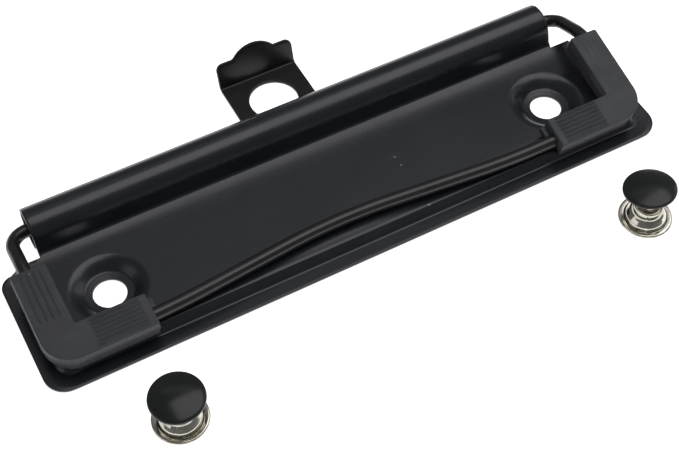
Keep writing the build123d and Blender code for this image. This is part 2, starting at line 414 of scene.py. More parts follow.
class Effects:
    """Node groups that several finishes share. Each puts out masks, values or colours only."""

    _made: dict[str, Tree] = {}

    @classmethod
    def _group(cls, name: str, inputs: dict[str, float], outputs: Sequence[str]) -> Tree:
        """Starts a node group with float inputs and float outputs."""
        tree = bpy.data.node_groups.new(name, "ShaderNodeTree")
        for label, value in inputs.items():
            socket = tree.interface.new_socket(name=label, in_out="INPUT", socket_type="NodeSocketFloat")
            socket.default_value = value
        for label in outputs:
            tree.interface.new_socket(name=label, in_out="OUTPUT", socket_type="NodeSocketFloat")
        tree.nodes.new("NodeGroupInput").name = "in"
        tree.nodes.new("NodeGroupOutput").name = "out"
        cls._made[name] = tree
        return tree

    @staticmethod
    def _noise(tree: Tree, detail: float, rough: float) -> Node:
        """A noise texture on object coordinates, with its scale left open."""
        where = tree.nodes.new("ShaderNodeTexCoord")
        noise = tree.nodes.new("ShaderNodeTexNoise")
        noise.inputs["Detail"].default_value = detail
        noise.inputs["Roughness"].default_value = rough
        tree.links.new(where.outputs["Object"], noise.inputs["Vector"])
        return noise

    @staticmethod
    def _spread(tree: Tree, source: Socket, low: float, high: float) -> None:
        """Maps low..high of a noise to the group's Low..High, and puts it out as its Value."""
        start, end = tree.nodes["in"], tree.nodes["out"]
        node = tree.nodes.new("ShaderNodeMapRange")
        node.interpolation_type = "SMOOTHSTEP"
        node.inputs["From Min"].default_value = low
        node.inputs["From Max"].default_value = high
        tree.links.new(source, node.inputs["Value"])
        tree.links.new(start.outputs["Low"], node.inputs["To Min"])
        tree.links.new(start.outputs["High"], node.inputs["To Max"])
        tree.links.new(node.outputs["Result"], end.inputs["Value"])

    @staticmethod
    def _math(tree: Tree, operation: str, first: Socket, second: Socket) -> Socket:
        """The result of a maths node on two sockets."""
        node = tree.nodes.new("ShaderNodeMath")
        node.operation = operation
        tree.links.new(first, node.inputs[0])
        tree.links.new(second, node.inputs[1])
        return node.outputs["Value"]

    @classmethod
    def uneven_film(cls) -> Tree:
        """Slow variation of a sprayed or moulded surface: a Value around the middle and a fine Height."""
        if "uneven_film" in cls._made:
            return cls._made["uneven_film"]
        inputs = {"Patch Scale": 60.0, "Grain Scale": 1500.0, "Low": 0.3, "High": 0.4}
        tree = cls._group("uneven_film", inputs, ["Value", "Height"])
        links, start, end = tree.links, tree.nodes["in"], tree.nodes["out"]
        patch = cls._noise(tree, 3.0, 0.55)
        grain = cls._noise(tree, 2.0, 0.6)
        links.new(start.outputs["Patch Scale"], patch.inputs["Scale"])
        links.new(start.outputs["Grain Scale"], grain.inputs["Scale"])
        cls._spread(tree, patch.outputs["Fac"], 0.3, 0.7)
        links.new(grain.outputs["Fac"], end.inputs["Height"])
        return tree

    @classmethod
    def dust_specks(cls) -> Tree:
        """Sparse pale specks: a Mask that is 1 on each speck."""
        if "dust_specks" in cls._made:
            return cls._made["dust_specks"]
        tree = cls._group("dust_specks", {"Scale": 180.0, "Size": 0.06, "Share": 0.04}, ["Mask"])
        links, start, end = tree.links, tree.nodes["in"], tree.nodes["out"]
        where = tree.nodes.new("ShaderNodeTexCoord")
        cells = tree.nodes.new("ShaderNodeTexVoronoi")
        cells.feature = "F1"
        links.new(where.outputs["Object"], cells.inputs["Vector"])
        links.new(start.outputs["Scale"], cells.inputs["Scale"])
        near = cls._math(tree, "LESS_THAN", cells.outputs["Distance"], start.outputs["Size"])
        split = tree.nodes.new("ShaderNodeSeparateColor")
        links.new(cells.outputs["Color"], split.inputs["Color"])
        chosen = cls._math(tree, "LESS_THAN", split.outputs["Red"], start.outputs["Share"])
        links.new(cls._math(tree, "MULTIPLY", near, chosen), end.inputs["Mask"])
        return tree

    @classmethod
    def drawn_marks(cls) -> Tree:
        """Faint stretched marks of drawn and tumbled metal: a Value and a Height."""
        if "drawn_marks" in cls._made:
            return cls._made["drawn_marks"]
        tree = cls._group("drawn_marks", {"Scale": 400.0, "Low": 0.08, "High": 0.2}, ["Value", "Height"])
        links, start, end = tree.links, tree.nodes["in"], tree.nodes["out"]
        noise = cls._noise(tree, 5.0, 0.7)
        squeeze = tree.nodes.new("ShaderNodeMapping")
        squeeze.inputs["Scale"].default_value = (1.0, 1.0, 0.25)
        coords = noise.inputs["Vector"].links[0].from_socket
        links.new(coords, squeeze.inputs["Vector"])
        links.new(squeeze.outputs["Vector"], noise.inputs["Vector"])
        links.new(start.outputs["Scale"], noise.inputs["Scale"])
        cls._spread(tree, noise.outputs["Fac"], 0.35, 0.65)
        links.new(noise.outputs["Fac"], end.inputs["Height"])
        return tree


# ------------------------------------------------------------------ finishes


@dataclass(frozen=True)
class Finish:
    """A surface finish. Subclasses set the shader; this one holds what they share."""

    name: str
    slot: str
    base: Triple
    second: Triple
    rough: Pair
    grain_scale: float
    grain_depth: float

    def _start(self) -> tuple[bpy.types.Material, Tree, Node]:
        """Makes the material and returns it with its tree and its Principled shader."""
        mat = bpy.data.materials.new(self.name)
        mat.use_nodes = True
        tree = mat.node_tree
        return mat, tree, tree.nodes["Principled BSDF"]

    @staticmethod
    def _place(tree: Tree, group: Tree, **values: float) -> Node:
        """Places a shared group in a material with its own values."""
        node = tree.nodes.new("ShaderNodeGroup")
        node.node_tree = group
        for label, value in values.items():
            node.inputs[label.replace("_", " ")].default_value = value
        return node

    def _bump(self, tree: Tree, height: Socket, shader: Node) -> None:
        """Feeds a height into the shader's normal."""
        bump = tree.nodes.new("ShaderNodeBump")
        bump.inputs["Strength"].default_value = 0.5
        bump.inputs["Distance"].default_value = self.grain_depth
        tree.links.new(height, bump.inputs["Height"])
        tree.links.new(bump.outputs["Normal"], shader.inputs["Normal"])

    @staticmethod
    def _blend(tree: Tree, share: Socket, first: Sequence[float], second: Sequence[float]) -> Node:
        """Mixes two colours by a share between 0 and 1."""
        mix = tree.nodes.new("ShaderNodeMix")
        mix.data_type = "RGBA"
        mix.inputs["A"].default_value = (*first, 1.0)
        mix.inputs["B"].default_value = (*second, 1.0)
        tree.links.new(share, mix.inputs["Factor"])
        return mix


@dataclass(frozen=True)
class DustyFilm(Finish):
    """A dark skin of uneven gloss and tone, with a fine grain and a few dust specks."""

    patch_scale: float
    tone_scale: float
    speck_scale: float
    speck_size: float
    speck_share: float
    dust: Triple
    specular: float = 0.5

    def material(self) -> bpy.types.Material:
        """Builds the skin."""
        mat, tree, shader = self._start()
        film = self._place(
            tree, Effects.uneven_film(), Patch_Scale=self.patch_scale, Grain_Scale=self.grain_scale,
            Low=self.rough[0], High=self.rough[1],
        )
        tone = self._place(tree, Effects.uneven_film(), Patch_Scale=self.tone_scale, Low=0.0, High=1.0)
        mix = self._blend(tree, tone.outputs["Value"], self.base, self.second)
        specks = self._place(
            tree, Effects.dust_specks(), Scale=self.speck_scale, Size=self.speck_size, Share=self.speck_share
        )
        dusty = self._blend(tree, specks.outputs["Mask"], self.base, self.dust)
        tree.links.new(mix.outputs["Result"], dusty.inputs["A"])
        tree.links.new(dusty.outputs["Result"], shader.inputs["Base Color"])
        tree.links.new(film.outputs["Value"], shader.inputs["Roughness"])
        shader.inputs["Specular IOR Level"].default_value = self.specular
        self._bump(tree, film.outputs["Height"], shader)
        return mat


@dataclass(frozen=True)
class Enamel(DustyFilm):
    """Black baked enamel on steel: a thin even film with faint orange peel."""

    patch_scale: float = 55.0
    tone_scale: float = 130.0
    speck_scale: float = 260.0
    speck_size: float = 0.07
    speck_share: float = 0.03
    dust: Triple = (0.22, 0.22, 0.23)


@dataclass(frozen=True)
class MouldedRubber(DustyFilm):
    """Dark grey moulded rubber with a fine matt grain."""

    patch_scale: float = 120.0
    tone_scale: float = 210.0
    speck_scale: float = 420.0
    speck_size: float = 0.09
    speck_share: float = 0.05
    dust: Triple = (0.20, 0.20, 0.205)


@dataclass(frozen=True)
class BrightNickel(Finish):
    """Bright nickel plate over drawn steel, slightly warm, with faint drawing marks."""

    def material(self) -> bpy.types.Material:
        """Builds the plating."""
        mat, tree, shader = self._start()
        marks = self._place(
            tree, Effects.drawn_marks(), Scale=self.grain_scale, Low=self.rough[0], High=self.rough[1]
        )
        tone = self._place(tree, Effects.uneven_film(), Patch_Scale=300.0, Low=0.0, High=1.0)
        mix = self._blend(tree, tone.outputs["Value"], self.base, self.second)
        tree.links.new(mix.outputs["Result"], shader.inputs["Base Color"])
        tree.links.new(marks.outputs["Value"], shader.inputs["Roughness"])
        shader.inputs["Metallic"].default_value = 1.0
        self._bump(tree, marks.outputs["Height"], shader)
        return mat


PLATE_ENAMEL = Enamel(
    name="plate_enamel", slot="plate_paint", base=(0.0115, 0.0132, 0.0188), second=(0.0148, 0.0168, 0.0230),
    rough=(0.24, 0.30), grain_scale=1400.0, grain_depth=0.000006,
)
WIRE_ENAMEL = Enamel(
    name="wire_enamel", slot="wire_paint", base=(0.0130, 0.0135, 0.0150), second=(0.0170, 0.0175, 0.0190),
    rough=(0.22, 0.28), grain_scale=1600.0, grain_depth=0.000005, speck_share=0.01,
)
TAB_ENAMEL = Enamel(
    name="tab_enamel", slot="tab_paint", base=(0.0085, 0.0088, 0.0095), second=(0.0120, 0.0124, 0.0130),
    rough=(0.26, 0.33), grain_scale=1500.0, grain_depth=0.000006, specular=0.32, speck_share=0.02,
)
CAP_ENAMEL = Enamel(
    name="cap_enamel", slot="rivet_black", base=(0.0150, 0.0165, 0.0165), second=(0.0190, 0.0205, 0.0205),
    rough=(0.20, 0.27), grain_scale=1800.0, grain_depth=0.000003, specular=0.3, speck_share=0.02,
)
PAD_RUBBER = MouldedRubber(
    name="pad_rubber_skin", slot="pad_rubber", base=(0.0520, 0.0540, 0.0600), second=(0.0640, 0.0665, 0.0730),
    rough=(0.42, 0.52), grain_scale=2600.0, grain_depth=0.00002, specular=0.28,
)
RIVET_NICKEL = BrightNickel(
    name="nickel_plate", slot="rivet_nickel", base=(0.46, 0.44, 0.38), second=(0.66, 0.64, 0.57),
    rough=(0.08, 0.17), grain_scale=500.0, grain_depth=0.000012,
)


def dress(obj: Piece, finish: Finish, body: str, *nodes: str) -> None:
    """Gives a piece its finish, its body and the CAD nodes that it stands for.

    Args:
        obj: The piece.
        finish: Its finish.
        body: The body that it rides on.
        *nodes: CAD nodes that it replaces.
    """
    mat = bpy.data.materials.get(finish.name) or finish.material()
    obj.data.materials.clear()
    obj.data.materials.append(mat)
    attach(obj, body)
    if nodes:
        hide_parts(*nodes)
    LOG.info("%s on %s for %s: %d faces", obj.name, body, ", ".join(nodes) or "-", len(obj.data.polygons))


def smooth(value: np.ndarray, low: float, high: float) -> np.ndarray:
    """Smooth step of value from 0 at low to 1 at high."""
    t = np.clip((value - low) / (high - low), 0.0, 1.0)
    return t * t * (3 - 2 * t)


# ------------------------------------------------------------------ jaw plate


@dataclass
class JawPlate:
    """The pressed sheet: flange, raised tray, dimpled holes, fold and roll."""

    sheet: float = 0.8
    half_length: float = 75.0
    front: float = -18.1
    rear: float = 13.6
    corner: float = 4.9
    flange: float = 3.15
    flange_lift: float = 0.15
    step_run: float = 2.0
    step_corner: float = 3.4
    top: float = 3.0
    bead: float = 0.10
    bead_width: float = 0.75
    front_ease: float = 4.6
    front_tilt: float = 11.5
    hole_x: float = 55.0
    hole_r: float = 3.65
    seat_r: float = 5.0
    dimple_r: float = 9.0
    dimple_power: float = 0.72
    seat_bead: float = 0.12
    seat_width: float = 0.35
    lead: float = 6.0
    lead_tilt: float = 15.0
    fold_r: float = 0.9
    wall_tilt: float = 75.0
    roll_half: float = 65.0
    roll_r: float = 4.8
    roll_y: float = 19.8
    roll_z: float = 5.85
    roll_end: float = -122.0
    window: Pair = (37.0, 54.0)
    window_from: float = -33.5
    rim_r: float = 0.16
    path: np.ndarray = field(init=False, repr=False)
    roll_start: float = field(init=False)

    def __post_init__(self) -> None:
        """Works out the section behind the tray: lead-in, fold, wall and roll, as (distance, y, z) rows."""
        step = 0.01
        lean, ease = np.radians(self.wall_tilt), np.radians(self.lead_tilt)
        rising = ease * np.linspace(0, 1, int(self.lead / step)) ** 2
        folding = np.arange(ease, lean, step / self.fold_r)
        tilt = np.r_[rising, folding]
        run, rise = step * np.cos(tilt).sum(), step * np.sin(tilt).sum()
        touch = lean + np.pi / 2
        touch_y = self.roll_y + self.roll_r * np.cos(touch)
        touch_z = self.roll_z + self.roll_r * np.sin(touch)
        wall = (touch_z - self.top - rise) / np.sin(lean)
        begin = touch_y - wall * np.cos(lean) - run
        turn = touch - np.radians(self.roll_end)
        rolling = lean - np.arange(0, turn + 0.02, step / self.roll_r)
        tilt = np.r_[tilt, np.full(int(wall / step), lean), rolling]
        self.roll_start = begin + self.lead + step * len(folding) + wall
        self.path = np.c_[
            begin + step * np.arange(len(tilt) + 1),
            begin + step * np.r_[0, np.cos(tilt).cumsum()],
            step * np.r_[0, np.sin(tilt).cumsum()],
        ]

    def roll_at(self, degrees: float) -> float:
        """Distance along the sheet at an angle round the roll, measured from +Y towards +Z."""
        return self.roll_start + self.roll_r * np.radians(self.wall_tilt + 90.0 - degrees)

    def step_depth(self, x: np.ndarray, y: np.ndarray) -> np.ndarray:
        """Distance inwards from the foot of the step, positive on the tray."""
        half, front, r = self.half_length - self.flange, self.front + self.flange, self.step_corner
        dx, dy = half - np.abs(x), y - front
        both = (dx < r) & (dy < r)
        return np.where(both, r - np.hypot(r - dx, r - dy), np.minimum(dx, dy))

    def height(self, x: np.ndarray, y: np.ndarray) -> np.ndarray:
        """Top face of the tray and flange."""
        d = self.step_depth(x, y)
        rise = self.top - self.sheet
        z = self.sheet + rise * smooth(d, 0.0, self.step_run)
        z += self.flange_lift * np.clip(-d / self.flange, 0.0, 1.0)
        z += self.bead * np.exp(-(((d - self.step_run - 0.1) / self.bead_width) ** 2))
        crest = self.front + self.flange + self.step_run
        ease = np.clip(crest + self.front_ease - y, 0.0, self.front_ease)
        z -= np.radians(self.front_tilt) * ease**2 / (2 * self.front_ease) * smooth(d, 0.0, self.step_run)
        r = np.hypot(np.abs(x) - self.hole_x, y)
        climb = np.clip((r - self.seat_r) / (self.dimple_r - self.seat_r), 0.0, 1.0) ** self.dimple_power
        dish = 1 - smooth(climb, 0.0, 1.0)
        ring = self.seat_bead * np.exp(-(((r - self.seat_r + 0.2) / self.seat_width) ** 2))
        return z * (1 - dish) + self.sheet * dish + ring

    def lay(self, uv: np.ndarray) -> np.ndarray:
        """Places points of the flat sheet, x along it and s round its section."""
        x, s = uv[:, 0], uv[:, 1]
        y = np.where(s < self.path[0, 0], s, np.interp(s, self.path[:, 0], self.path[:, 1]))
        lift = np.interp(s, self.path[:, 0], self.path[:, 2])
        return np.c_[x, y, self.height(x, np.minimum(s, self.rear)) + lift]

    def outline(self) -> Contour:
        """Edge of the flat sheet."""
        x0, x1 = self.window
        end, slot = self.roll_at(self.roll_end), self.roll_at(self.window_from)
        right = [
            (self.half_length, self.front, self.corner), (self.half_length, self.rear, 3.0),
            (self.roll_half, self.rear, 0.0), (self.roll_half, end, 0.6),
            (x1, end, 0.5), (x1, slot, 0.8), (x0, slot, 0.8), (x0, end, 0.5),
        ]
        return Contour.of(right + mirrored(right), 1.6, 8)

    def seeds(self) -> np.ndarray:
        """Points that follow the step, the dimples, the fold and the roll."""
        rows: list[np.ndarray] = []
        half, front, r = self.half_length - self.flange, self.front + self.flange, self.step_corner
        for d in np.r_[-2.6, -1.7, -0.9, np.arange(-0.45, self.step_run + 2.6, 0.2), 5.2, 6.4]:
            line = Contour(
                [(-half, front), (half, front), (half, 40.0), (-half, 40.0)], [r, r, 0.0, 0.0],
                pitch=1.1, arc_steps=14,
            ).loop(d)
            rows.append(line[line[:, 1] < self.rear])
        begin = self.path[0, 0]
        stations = np.r_[
            np.arange(-8.0, begin, 1.6), np.arange(begin, begin + self.lead - 0.6, 0.45),
            np.arange(begin + self.lead - 0.6, begin + self.lead + 1.6, 0.12),
            np.arange(begin + self.lead + 1.6, self.roll_start, 0.5),
            np.arange(self.roll_start, self.roll_at(self.roll_end), 0.4),
        ]
        across = np.arange(-64.4, 64.5, 1.4)
        gx, gs = np.meshgrid(across, stations)
        grid = np.c_[gx.ravel(), gs.ravel()]
        keep = np.ones(len(grid), bool)
        ends = np.arange(65.0, 74.5, 1.1)
        ex, es = np.meshgrid(np.r_[ends, -ends], np.arange(-8.0, self.rear, 1.3))
        for side in (-1, 1):
            keep &= np.hypot(grid[:, 0] - side * self.hole_x, grid[:, 1]) > self.dimple_r + 1.2
            for radius in np.arange(self.hole_r + 0.4, self.dimple_r + 1.3, 0.3):
                n = int(2 * np.pi * radius / 0.6)
                ang = np.linspace(0, 2 * np.pi, n, endpoint=False)
                rows.append(np.c_[side * self.hole_x + radius * np.cos(ang), radius * np.sin(ang)])
        return np.vstack(rows + [grid[keep], np.c_[ex.ravel(), es.ravel()]])

    def build(self) -> None:
        """Cuts and lays the sheet."""
        rim = pressed_rim(self.sheet, self.rim_r)
        holes = [Ring((side * self.hole_x, 0.0), self.hole_r) for side in (-1, 1)]
        sheet = Pattern([self.outline(), *holes], self.seeds(), self.lay, rim)
        dress(new_object("pressed_jaw_plate", *sheet.shape()), PLATE_ENAMEL, "jaw", "jaw_plate")


# ------------------------------------------------------------------ lever


@dataclass
class LeverWire:
    """The bent wire of the lever, from one cranked end in the roll to the other."""

    radius: float = 1.5
    arm_x: float = 69.5
    bar: Pair = (-12.3, 5.1)
    knees: tuple[Pair, Pair] = ((10.5, 7.5), (8.5, 10.2))
    axis: Pair = (19.8, 5.85)
    throw: float = 2.4
    throw_angle: float = -80.0
    crank_x: Triple = (38.0, 48.5, 52.0)
    bow: float = 3.9
    bow_x: Triple = (-46.0, -5.0, 36.0)
    half_radii: tuple[float, ...] = (2.6, 2.6, 4.2, 9.0, 5.0)
    bow_radii: tuple[float, ...] = (170.0, 130.0, 170.0)

    def route(self) -> np.ndarray:
        """Centre line of the wire."""
        crank = (
            self.axis[0] + self.throw * np.cos(np.radians(self.throw_angle)),
            self.axis[1] + self.throw * np.sin(np.radians(self.throw_angle)),
        )
        x0, x1, x2 = self.crank_x
        left, right = (
            [
                (side * x0, *crank), (side * x1, *crank), (side * x2, *self.axis),
                (side * self.arm_x, *self.axis), (side * self.arm_x, *knee), (side * self.arm_x, *self.bar),
            ]
            for side, knee in zip((-1, 1), self.knees)
        )
        bar_y, bar_z = self.bar
        middle = [(x, bar_y + (self.bow if k == 1 else 0.0), bar_z) for k, x in enumerate(self.bow_x)]
        radii = [*self.half_radii, *self.bow_radii, *reversed(self.half_radii)]
        return round_route([*left, *middle, *reversed(right)], radii, 0.55)

    def build(self) -> None:
        """Bends the wire."""
        dress(tube("bent_lever_wire", self.route(), self.radius), WIRE_ENAMEL, "lever", "lever_wire")


@dataclass
class CornerPad:
    """A moulded rubber corner on the lever: crisp top face, finger ribs, parting flash and front skirt."""

    side: int
    inner_x: float
    leg_x: float
    outer_x: float
    front: float
    rear: float
    knee: Pair
    flash: float
    back: float = 4.4
    under: float = 2.35
    over: float = 2.45
    shoulder: float = 0.3
    flash_drop: float = 2.1
    floor_z: float = 3.3
    skirt_y: float = -14.3
    cut_slope: float = 0.03
    rib_height: float = 0.3
    side_rib_height: float = 0.3
    rib_power: float = 1.4
    side_rib_pitch: float = 1.4
    side_rib_start: float = 1.5
    bar: Pair = (-12.3, 5.1)

    def lay(self, uv: np.ndarray) -> np.ndarray:
        """Places points of the pad's plan on its top face, in the sloping plane of the lever."""
        (by, bz), (ky, kz) = self.bar, self.knee
        slope = np.array([0.0, ky - by, kz - bz])
        slope /= np.linalg.norm(slope)
        lift = np.array([0.0, -slope[2], slope[1]])
        return uv[:, :1] * [1.0, 0.0, 0.0] + uv[:, 1:] * slope + [0.0, by, bz] + self.over * lift

    def ribs(self, uv: np.ndarray) -> np.ndarray:
        """Height of the finger ribs over the top face."""
        x, v = self.side * uv[:, 0], uv[:, 1]
        a, b, c, d = self.inner_x, self.front, self.leg_x, self.back
        wave = 0.5 + 0.5 * np.cos(2 * np.pi * (v - b - 0.9))
        zone = smooth(x, a + 1.5, a + 1.8) * (1 - smooth(x, a + 12.3, a + 12.6))
        zone *= smooth(v, b + 0.35, b + 0.45) * (1 - smooth(v, d - 0.55, d - 0.4))
        across_front = self.rib_height * zone * wave**self.rib_power
        wave = 0.5 + 0.5 * np.cos(2 * np.pi * (x - c - self.side_rib_start) / self.side_rib_pitch)
        zone = smooth(v, d + 2.5, d + 2.8) * (1 - smooth(v, self.rear - 1.7, self.rear - 1.4))
        zone *= smooth(x, c + 0.75, c + 0.85) * (1 - smooth(x, c + 6.35, c + 6.45))
        return across_front + self.side_rib_height * zone * wave**self.rib_power

    def outline(self) -> Contour:
        """Plan of the pad."""
        points = [
            (self.inner_x, self.front, 0.4), (self.outer_x, self.front, 6.5), (self.outer_x, self.rear, 0.55),
            (self.leg_x, self.rear, 0.4), (self.leg_x, self.back, 0.6), (self.inner_x, self.back, 0.4),
        ]
        return Contour.of(mirrored(points) if self.side < 0 else points, 0.8, 10)

    def seeds(self) -> np.ndarray:
        """Points fine enough across the ribs to carry them."""
        patches = (
            (np.arange(self.inner_x + 0.5, self.leg_x, 0.45), np.arange(self.front + 0.41, self.back, 0.11)),
            (np.arange(self.leg_x + 0.44, self.outer_x, 0.14), np.arange(self.back, self.rear, 0.5)),
            (np.arange(self.leg_x, self.outer_x, 0.6), np.arange(self.front, self.back, 0.6)),
        )
        grids = [np.meshgrid(across, along) for across, along in patches]
        pts = np.vstack([np.c_[x.ravel(), v.ravel()] for x, v in grids])
        pts[:, 0] *= self.side
        return pts

    def body(self) -> tuple[np.ndarray, list[list[int]]]:
        """The moulding itself, cut away over the tray and left hanging in front of its step.

        Returns:
            The points and faces of the moulding.
        """
        r, deep = self.shoulder, self.under + self.over
        ang = np.radians(np.linspace(90, 0, 5))
        rim = [(r * (1 - np.cos(a)), r * (1 - np.sin(a))) for a in ang]
        drop, flash = self.flash_drop, self.flash
        rim += [(0.02, drop - 0.3), (-0.3 * flash, drop - 0.12), (-flash, drop), (-0.3 * flash, drop + 0.12)]
        rim += [(0.05, drop + 0.3), (0.12, deep - 0.3), (0.2, deep - 0.08), (r, deep)]
        points, faces = Pattern(
            [self.outline()], self.seeds(), self.lay, rim, seed_gap=0.1, relief=self.ribs
        ).shape()
        low = (points[:, 1] > self.skirt_y) & (points[:, 2] < self.floor_z)
        points[low, 2] = self.floor_z - self.cut_slope * (self.floor_z - points[low, 2])
        return points, faces

    def lip(self) -> tuple[np.ndarray, list[list[int]]]:
        """The low lip beside the bar at the inner end.

        Returns:
            The points and faces of the lip.
        """
        near, far, low, high = self.inner_x - 1.3, self.inner_x + 0.4, 1.3, self.back - 0.2
        points = [(near, low, 0.3), (far, low, 0.1), (far, high, 0.1), (near, high, 0.3)]
        edge = Contour.of(mirrored(points) if self.side < 0 else points, 0.5, 5)
        drop = self.over - 0.1

        def lay(uv: np.ndarray) -> np.ndarray:
            """Places points of the lip's plan, lower than the top face."""
            top = self.lay(uv)
            normal = np.cross(self.lay(uv + [1.0, 0.0]) - top, self.lay(uv + [0.0, 1.0]) - top)
            return top - drop * normal

        rim = [(0.25, 0.0), (0.08, 0.08), (0.0, 0.25), (0.0, 1.35), (0.08, 1.52), (0.25, 1.6)]
        return Pattern([edge], np.array([[self.side * self.inner_x, 2.5]]), lay, rim, seed_gap=0.1).shape()

    def build(self) -> None:
        """Moulds the pad."""
        side = "left" if self.side < 0 else "right"
        points, faces = self.body()
        more, extra = self.lip()
        size = len(points)
        faces += [[size + i for i in face] for face in extra]
        pad = new_object(f"corner_pad_{side}", np.vstack([points, more]), faces)
        dress(pad, PAD_RUBBER, "lever", f"rubber_corner_{side}")


# ------------------------------------------------------------------ hanging tab


@dataclass
class HangingTab:
    """The sliding tab: flat blade, round hole, bent lip with two shoulders and a tongue."""

    sheet: float = 0.8
    half: float = 9.8
    inner_y: float = 15.95
    stop_height: float = 2.0
    crease_y: float = 41.6
    lip_angle: float = 76.0
    lip_side: float = 7.1
    tongue: float = 9.7
    tongue_half: float = 5.3
    hole_r: float = 5.8
    hole_y: float = 32.4
    bend_r: float = 0.5
    rim_r: float = 0.14

    def lay(self, uv: np.ndarray) -> np.ndarray:
        """Places points of the flat tab, x across it and s along it from the inner end."""
        x, s = uv[:, 0], uv[:, 1]
        ang = np.radians(self.lip_angle)
        bend = self.bend_r
        start = self.crease_y - (bend + self.sheet) * np.tan(ang / 2)
        turn = np.clip((s - start) / bend, 0.0, ang)
        lip = np.clip(s - start - bend * ang, 0.0, None)
        y = np.minimum(s, start) + bend * np.sin(turn) + lip * np.cos(ang)
        z = self.sheet + bend * (1 - np.cos(turn)) + lip * np.sin(ang)
        root = self.inner_y + self.sheet + 0.5
        fold = np.clip((root - s) / 0.5, 0.0, np.pi / 2)
        rise = np.clip(root - s - 0.5 * np.pi / 2, 0.0, None)
        back = s < root
        y = np.where(back, root - 0.5 * np.sin(fold), y)
        z = np.where(back, self.sheet + 0.5 * (1 - np.cos(fold)) + rise, z)
        return np.c_[x, y, z]

    def outline(self) -> Contour:
        """Edge of the flat tab."""
        ang = np.radians(self.lip_angle)
        corner = (self.bend_r + self.sheet) * np.tan(ang / 2)
        base = self.crease_y - 2 * corner + self.bend_r * ang
        side, top, w = base + self.lip_side, self.tongue - self.lip_side, self.tongue_half
        radius = (w * w + top * top) / (2 * top)
        half_arc = np.arcsin(w / radius)
        arc = [
            (radius * np.sin(a), side + top - radius * (1 - np.cos(a)))
            for a in np.linspace(half_arc, -half_arc, 23)[1:-1]
        ]
        inner = self.inner_y - 0.1
        foot = self.half - 1.5
        points = [(-foot, inner, 0.4), (foot, inner, 0.4)]
        points += [(foot, inner + 1.9, 0.0), (self.half, inner + 1.9, 0.5)]
        points += [(self.half, side, 1.7), (w, side, 0.9), *[(x, s, 0.0) for x, s in arc], (-w, side, 0.9)]
        points += [(-self.half, side, 1.7), (-self.half, inner + 1.9, 0.5), (-foot, inner + 1.9, 0.0)]
        return Contour.of(points, 0.8, 8)

    def seeds(self) -> np.ndarray:
        """Points closer together across the bends."""
        lines = np.r_[
            np.arange(self.inner_y - 0.8, self.inner_y + 2.0, 0.16), np.arange(18.2, 40.0, 0.9),
            np.arange(40.0, 43.2, 0.14), np.arange(43.4, 54.0, 0.8),
        ]
        gx, gs = np.meshgrid(np.arange(-9.5, 9.6, 0.79), lines)
        rows = [np.c_[gx.ravel(), gs.ravel()]]
        rows[0] = rows[0][np.hypot(rows[0][:, 0], rows[0][:, 1] - self.hole_y) > self.hole_r + 0.8]
        ang = np.linspace(0, 2 * np.pi, 60, endpoint=False)
        ring = self.hole_r + 0.55
        rows.append(np.c_[ring * np.cos(ang), self.hole_y + ring * np.sin(ang)])
        return np.vstack(rows)

    def build(self) -> None:
        """Cuts and bends the tab."""
        rim = pressed_rim(self.sheet, self.rim_r)
        hole = Ring((0.0, self.hole_y), self.hole_r)
        tab = Pattern([self.outline(), hole], self.seeds(), self.lay, rim, seed_gap=0.12)
        dress(new_object("pull_out_tab", *tab.shape()), TAB_ENAMEL, "hanger", "hanging_tab")


# ------------------------------------------------------------------ rivets


